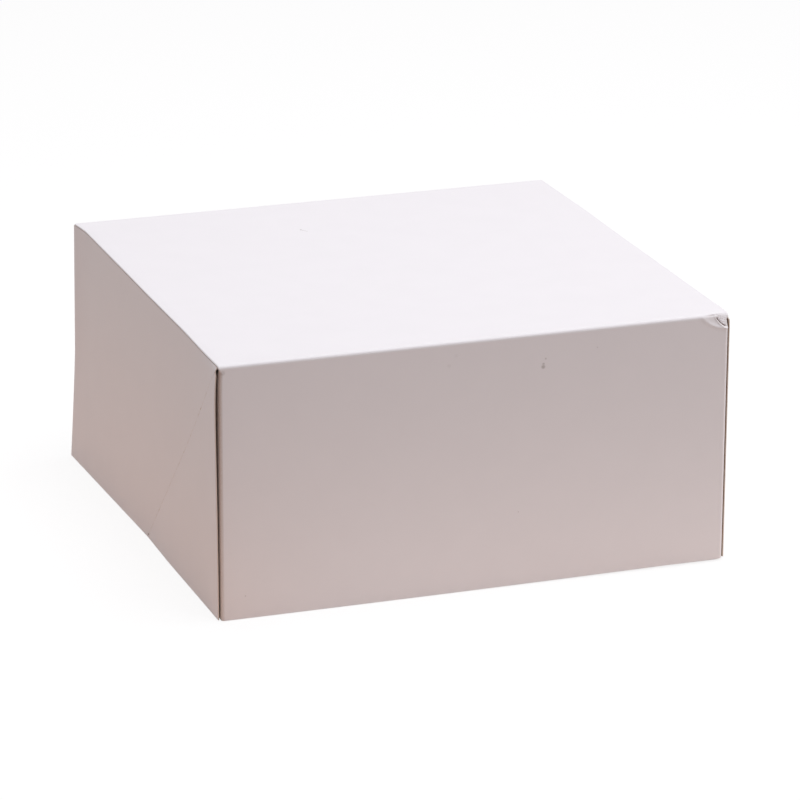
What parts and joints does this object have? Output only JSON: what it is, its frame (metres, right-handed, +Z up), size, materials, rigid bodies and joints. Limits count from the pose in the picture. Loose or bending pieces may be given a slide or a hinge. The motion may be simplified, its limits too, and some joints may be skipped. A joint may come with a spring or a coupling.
{
  "type": "cake box",
  "caption": "Square fold-flat cake box of white paperboard: a tray with glued corners and a full-depth lid hinged on its rear top crease.",
  "frame": {"origin": "on the floor under the middle of the closed box's bounding box", "axes": "+Z up, +X to the right seen from the front, +Y to the rear, where the lid's crease is"},
  "size_m": [0.2596, 0.2488, 0.124],
  "materials": {
    "lid_board": "white clay-coated outer face, smooth, low sheen",
    "tray_board": "white board, outer face coated and inner face matt",
    "flap_board": "matt board of the glued flaps"
  },
  "bodies": {
    "tray": {"tray_bottom": "tray_board", "tray_front_wall": "tray_board", "tray_back_wall": "tray_board", "tray_left_wall": "tray_board", "tray_right_wall": "tray_board", "tray_front_left_gusset": "tray_board", "tray_front_right_gusset": "tray_board", "tray_back_left_gusset": "tray_board", "tray_back_right_gusset": "tray_board", "tray_front_left_tab": "flap_board", "tray_front_right_tab": "flap_board", "tray_back_left_tab": "flap_board", "tray_back_right_tab": "flap_board"},
    "lid": {"lid_top": "lid_board", "lid_front": "lid_board"},
    "lid_left_panel": {"lid_left_side": "lid_board"},
    "lid_right_panel": {"lid_right_side": "lid_board"},
    "lid_left_corner": {"lid_left_gusset": "lid_board", "lid_left_ear": "flap_board"},
    "lid_right_corner": {"lid_right_gusset": "lid_board", "lid_right_ear": "flap_board"}
  },
  "joints": [
    {"name": "lid_hinge", "type": "hinge", "parent": "tray", "child": "lid", "pos_m": [0, 0.1244, 0.124], "axis": [-1, 0, 0], "range_deg": [0, 209]},
    {"name": "left_side_swing", "type": "hinge", "parent": "lid", "child": "lid_left_panel", "pos_m": [-0.1273, 0, 0.124], "axis": [0, 1, 0], "range_deg": [0, 6.5]},
    {"name": "right_side_swing", "type": "hinge", "parent": "lid", "child": "lid_right_panel", "pos_m": [0.1273, 0, 0.124], "axis": [0, -1, 0], "range_deg": [0, 6.5]},
    {"name": "left_corner_swing", "type": "hinge", "parent": "lid", "child": "lid_left_corner", "pos_m": [-0.12585, -0.1234, 0.124], "axis": [0, 0, 1], "range_deg": [0, 6.5]},
    {"name": "right_corner_swing", "type": "hinge", "parent": "lid", "child": "lid_right_corner", "pos_m": [0.12585, -0.1234, 0.124], "axis": [0, 0, -1], "range_deg": [0, 6.5]}
  ],
  "couplings": [
    {"joint": "left_corner_swing", "follows": "left_side_swing", "ratio": 1},
    {"joint": "right_corner_swing", "follows": "right_side_swing", "ratio": 1}
  ]
}
